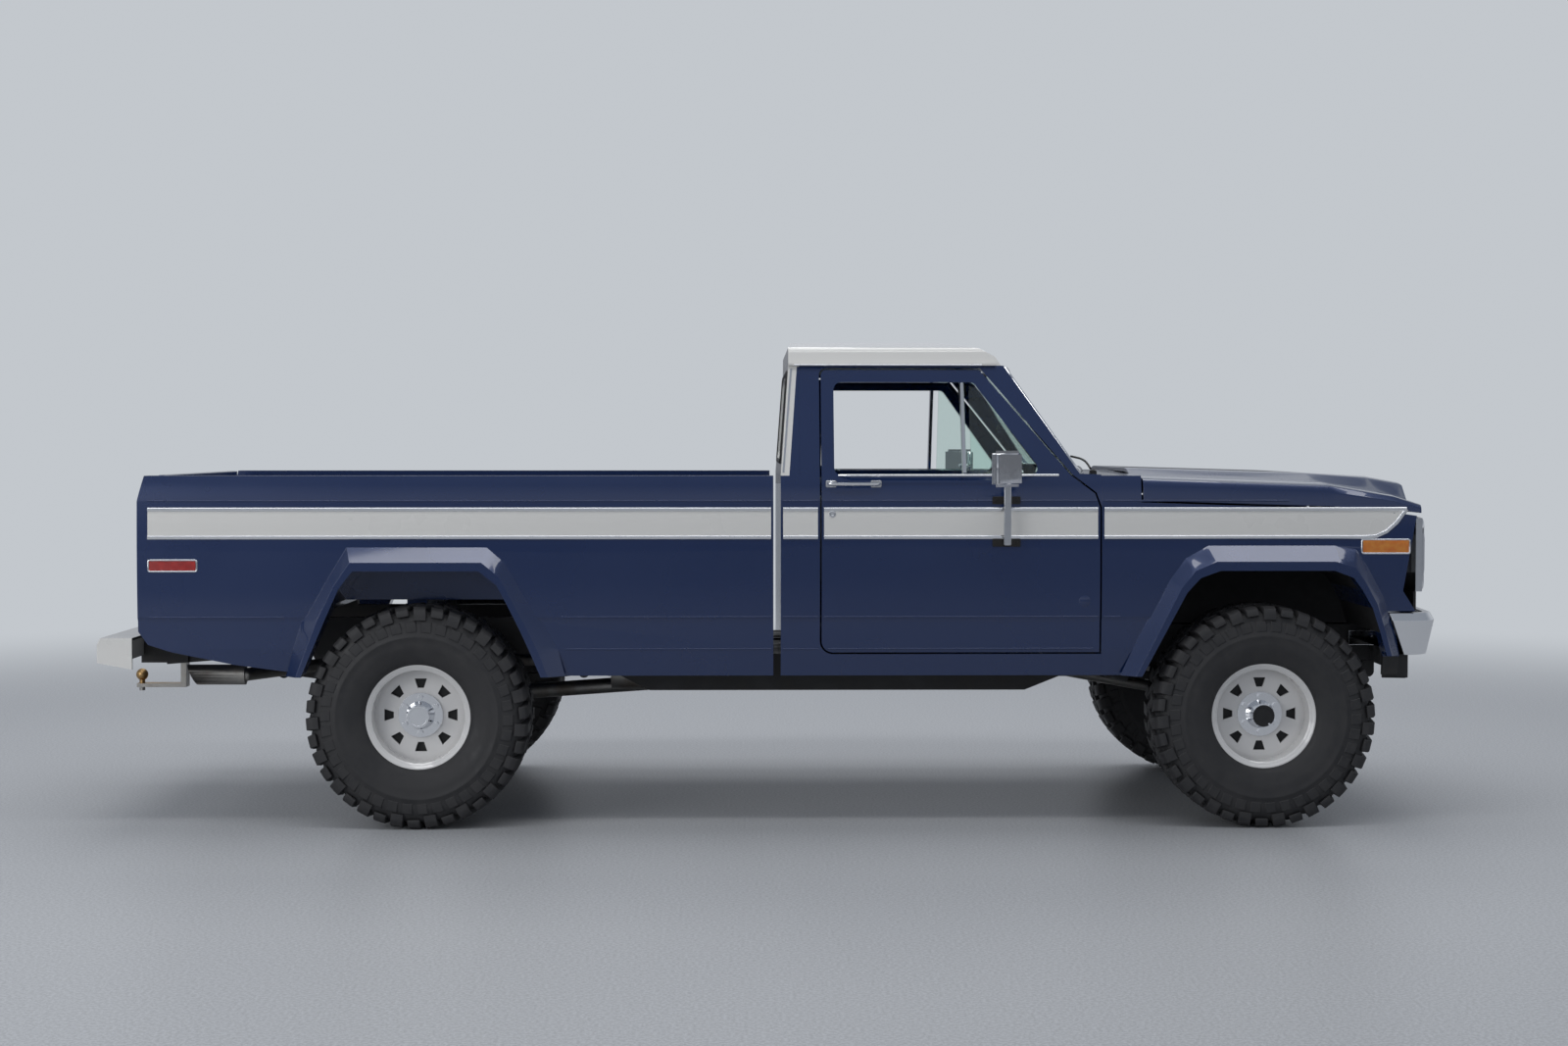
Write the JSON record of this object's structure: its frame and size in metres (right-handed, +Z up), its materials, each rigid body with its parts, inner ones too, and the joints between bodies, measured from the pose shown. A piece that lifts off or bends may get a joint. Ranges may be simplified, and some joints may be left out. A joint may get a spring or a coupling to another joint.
{
  "type": "lifted four-wheel-drive pickup truck",
  "caption": "Lifted pickup with single cab and long load bed on mud tyres; doors, hood, tailgate and wheels move and the front wheels steer.",
  "frame": {"origin": "on the ground under the middle of the overall length and width", "axes": "+X forward, +Y to the vehicle's left, +Z up"},
  "size_m": [5.3797, 2.326, 1.928],
  "materials": {
    "body_paint": "gloss",
    "white_paint": "gloss",
    "bright_metal": "polished",
    "frame_paint": "satin",
    "bare_steel": "satin",
    "damper_paint": "satin",
    "engine_iron": "rough",
    "tyre_rubber": "matte",
    "wheel_paint": "gloss",
    "window_glass": "clear",
    "lamp_glass": "clear",
    "amber_lens": "gloss",
    "red_lens": "gloss",
    "cabin_plastic": "matte",
    "seat_fabric": "matte",
    "grille_plastic": "satin"
  },
  "bodies": {
    "chassis": {"ladder_frame": "frame_paint", "engine": "engine_iron", "transmission": "engine_iron", "drive_shafts": "bare_steel", "front_axle": "frame_paint", "rear_axle": "frame_paint", "leaf_springs": "frame_paint", "shock_absorbers": "damper_paint", "exhaust": "bare_steel", "fuel_tank": "frame_paint", "cab_shell": "body_paint", "roof": "white_paint", "cab_glass": "window_glass", "dashboard": "cabin_plastic", "steering_column": "cabin_plastic", "bench_seat": "seat_fabric", "seat_riser": "frame_paint", "left_fender": "body_paint", "right_fender": "body_paint", "grille": "grille_plastic", "radiator": "frame_paint", "headlamps": "lamp_glass", "amber_lamps": "amber_lens", "tail_lamps": "red_lens", "front_bumper": "bright_metal", "rear_bumper": "white_paint", "tow_hitch": "bare_steel", "cargo_bed": "body_paint"},
    "hood": {"hood": "body_paint"},
    "tailgate": {"tailgate": "body_paint"},
    "tie_rod": {"tie_rod": "bare_steel"},
    "pitman_arm": {"pitman_arm": "bare_steel"},
    "steering_wheel": {"steering_wheel": "cabin_plastic"},
    "door_left": {"door_left": "body_paint", "door_glass_left": "window_glass", "door_hardware_left": "bright_metal"},
    "knuckle_left": {"knuckle_left": "frame_paint"},
    "wheel_front_left": {"tyre_front_left": "tyre_rubber", "rim_front_left": "wheel_paint", "hub_front_left": "bright_metal"},
    "wheel_rear_left": {"tyre_rear_left": "tyre_rubber", "rim_rear_left": "wheel_paint", "hub_rear_left": "bright_metal"},
    "door_right": {"door_right": "body_paint", "door_glass_right": "window_glass", "door_hardware_right": "bright_metal"},
    "knuckle_right": {"knuckle_right": "frame_paint"},
    "wheel_front_right": {"tyre_front_right": "tyre_rubber", "rim_front_right": "wheel_paint", "hub_front_right": "bright_metal"},
    "wheel_rear_right": {"tyre_rear_right": "tyre_rubber", "rim_rear_right": "wheel_paint", "hub_rear_right": "bright_metal"}
  },
  "joints": [
    {"name": "steer_right", "type": "hinge", "parent": "chassis", "child": "knuckle_right", "pos_m": [1.96, -0.68, 0.437], "axis": [0, 0, 1], "range_deg": [-28, 28]},
    {"name": "steer_left", "type": "hinge", "parent": "chassis", "child": "knuckle_left", "pos_m": [1.96, 0.68, 0.437], "axis": [0, 0, 1], "range_deg": [-28, 28]},
    {"name": "tie_rod_swing", "type": "hinge", "parent": "knuckle_right", "child": "tie_rod", "pos_m": [2.11, -0.68, 0.302], "axis": [0, 0, 1], "range_deg": [-28, 28]},
    {"name": "pitman_swing", "type": "hinge", "parent": "chassis", "child": "pitman_arm", "pos_m": [2.032, 0.47, 0.458], "axis": [0, 0, 1], "range_deg": [-28, 28]},
    {"name": "steering_wheel_turn", "type": "hinge", "parent": "chassis", "child": "steering_wheel", "pos_m": [0.905, 0.38, 1.215], "axis": [0.848, 0, -0.5299], "range_deg": [-448, 448]},
    {"name": "door_left_swing", "type": "hinge", "parent": "chassis", "child": "door_left", "pos_m": [1.25, 0.949, 1], "axis": [0, 0, -1], "range_deg": [0, 65]},
    {"name": "door_right_swing", "type": "hinge", "parent": "chassis", "child": "door_right", "pos_m": [1.25, -0.949, 1], "axis": [0, 0, 1], "range_deg": [0, 65]},
    {"name": "hood_lift", "type": "hinge", "parent": "chassis", "child": "hood", "pos_m": [1.479, 0, 1.4093], "axis": [0, -1, 0], "range_deg": [0, 48]},
    {"name": "tailgate_drop", "type": "hinge", "parent": "chassis", "child": "tailgate", "pos_m": [-2.421, 0, 0.88], "axis": [0, -1, 0], "range_deg": [0, 90]},
    {"name": "spin_front_left", "type": "hinge", "parent": "knuckle_left", "child": "wheel_front_left", "pos_m": [1.96, 0.825, 0.437], "axis": [0, 1, 0], "continuous": true},
    {"name": "spin_rear_left", "type": "hinge", "parent": "chassis", "child": "wheel_rear_left", "pos_m": [-1.36, 0.825, 0.437], "axis": [0, 1, 0], "continuous": true},
    {"name": "spin_front_right", "type": "hinge", "parent": "knuckle_right", "child": "wheel_front_right", "pos_m": [1.96, -0.825, 0.437], "axis": [0, 1, 0], "continuous": true},
    {"name": "spin_rear_right", "type": "hinge", "parent": "chassis", "child": "wheel_rear_right", "pos_m": [-1.36, -0.825, 0.437], "axis": [0, 1, 0], "continuous": true}
  ],
  "couplings": [
    {"joint": "steer_left", "follows": "steer_right", "ratio": 1},
    {"joint": "tie_rod_swing", "follows": "steer_right", "ratio": -1},
    {"joint": "pitman_swing", "follows": "steer_right", "ratio": 1},
    {"joint": "steering_wheel_turn", "follows": "steer_right", "ratio": -16}
  ]
}
